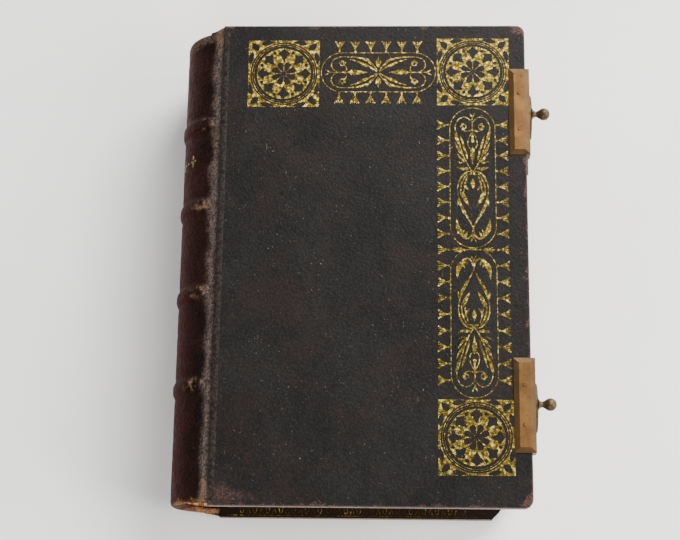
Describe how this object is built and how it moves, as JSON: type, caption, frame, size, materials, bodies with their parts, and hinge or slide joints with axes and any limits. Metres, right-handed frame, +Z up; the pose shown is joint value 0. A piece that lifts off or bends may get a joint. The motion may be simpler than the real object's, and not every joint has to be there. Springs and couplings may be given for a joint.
{
  "type": "prayer book",
  "caption": "Small leather-bound prayer book with raised bands, gilt-edged leaves and brass fore-edge clasps; covers, leaves and clasps hinge open.",
  "frame": {"origin": "on the table under the middle of the closed book: centre of the bottom of its bounding box", "axes": "+X from the spine to the fore-edge, +Y from the tail to the head of the page, +Z up through the thickness, book lying on its back cover"},
  "size_m": [0.0884, 0.115, 0.0287],
  "materials": {
    "black_leather": "fine pebbled goatskin, satin",
    "spine_leather": "worn red-brown goatskin, satin",
    "board": "matte millboard",
    "endpaper": "matte end paper",
    "leaves": "thin paper, gilt on the edges",
    "lining": "matte glued paper",
    "cord": "hemp cord",
    "silk": "silk thread over a cord core",
    "clasp_brass": "worn, copper-toned brass",
    "pin_brass": "drawn brass wire"
  },
  "bodies": {
    "back_cover": {"back_board": "board", "back_leather": "black_leather", "back_pastedown": "endpaper", "upper_hinge_plate": "clasp_brass", "lower_hinge_plate": "clasp_brass", "hinge_rivets": "pin_brass", "upper_hinge_pin": "pin_brass", "lower_hinge_pin": "pin_brass"},
    "book_block": {"text_block": "leaves", "back_flyleaf": "endpaper", "spine_lining": "lining", "sewing_cords": "cord", "spine_leather": "spine_leather", "head_band": "silk", "tail_band": "silk"},
    "front_cover": {"front_board": "board", "front_leather": "black_leather", "front_pastedown": "endpaper", "upper_catch_plate": "clasp_brass", "lower_catch_plate": "clasp_brass", "catch_rivets": "pin_brass"},
    "flyleaf": {"front_flyleaf": "endpaper"},
    "leaves_1": {"first_leaves": "leaves"},
    "leaves_2": {"second_leaves": "leaves"},
    "leaves_3": {"third_leaves": "leaves"},
    "leaves_4": {"fourth_leaves": "leaves"},
    "upper_clasp": {"upper_clasp_arm": "clasp_brass", "upper_clasp_knob": "clasp_brass"},
    "lower_clasp": {"lower_clasp_arm": "clasp_brass", "lower_clasp_knob": "clasp_brass"}
  },
  "joints": [
    {"name": "back_cover_fold", "type": "hinge", "parent": "back_cover", "child": "book_block", "pos_m": [-0.03408, 0, 0.0003], "axis": [0, -1, 0], "range_deg": [0, 22]},
    {"name": "front_cover_fold", "type": "hinge", "parent": "book_block", "child": "front_cover", "pos_m": [-0.03408, 0, 0.0277], "axis": [0, -1, 0], "range_deg": [0, 175]},
    {"name": "flyleaf_turn", "type": "hinge", "parent": "book_block", "child": "flyleaf", "pos_m": [-0.02908, 0, 0.0247], "axis": [0, -1, 0], "range_deg": [0, 127]},
    {"name": "first_leaves_turn", "type": "hinge", "parent": "book_block", "child": "leaves_1", "pos_m": [-0.02848, 0, 0.02435], "axis": [0, -1, 0], "range_deg": [0, 109.5]},
    {"name": "second_leaves_turn", "type": "hinge", "parent": "book_block", "child": "leaves_2", "pos_m": [-0.02627, 0, 0.0219], "axis": [0, -1, 0], "range_deg": [0, 85]},
    {"name": "third_leaves_turn", "type": "hinge", "parent": "book_block", "child": "leaves_3", "pos_m": [-0.02498, 0, 0.01945], "axis": [0, -1, 0], "range_deg": [0, 58.8]},
    {"name": "fourth_leaves_turn", "type": "hinge", "parent": "book_block", "child": "leaves_4", "pos_m": [-0.02477, 0, 0.017], "axis": [0, -1, 0], "range_deg": [0, 30.8]},
    {"name": "upper_clasp_hinge", "type": "hinge", "parent": "back_cover", "child": "upper_clasp", "pos_m": [0.04038, 0.0354, 0.0013], "axis": [0, 1, 0], "range_deg": [0, 84]},
    {"name": "lower_clasp_hinge", "type": "hinge", "parent": "back_cover", "child": "lower_clasp", "pos_m": [0.04038, -0.0346, 0.0013], "axis": [0, 1, 0], "range_deg": [0, 84]}
  ],
  "couplings": [
    {"joint": "flyleaf_turn", "follows": "front_cover_fold", "ratio": 0.72},
    {"joint": "first_leaves_turn", "follows": "front_cover_fold", "ratio": 0.62},
    {"joint": "second_leaves_turn", "follows": "front_cover_fold", "ratio": 0.48},
    {"joint": "third_leaves_turn", "follows": "front_cover_fold", "ratio": 0.33},
    {"joint": "fourth_leaves_turn", "follows": "front_cover_fold", "ratio": 0.17}
  ]
}
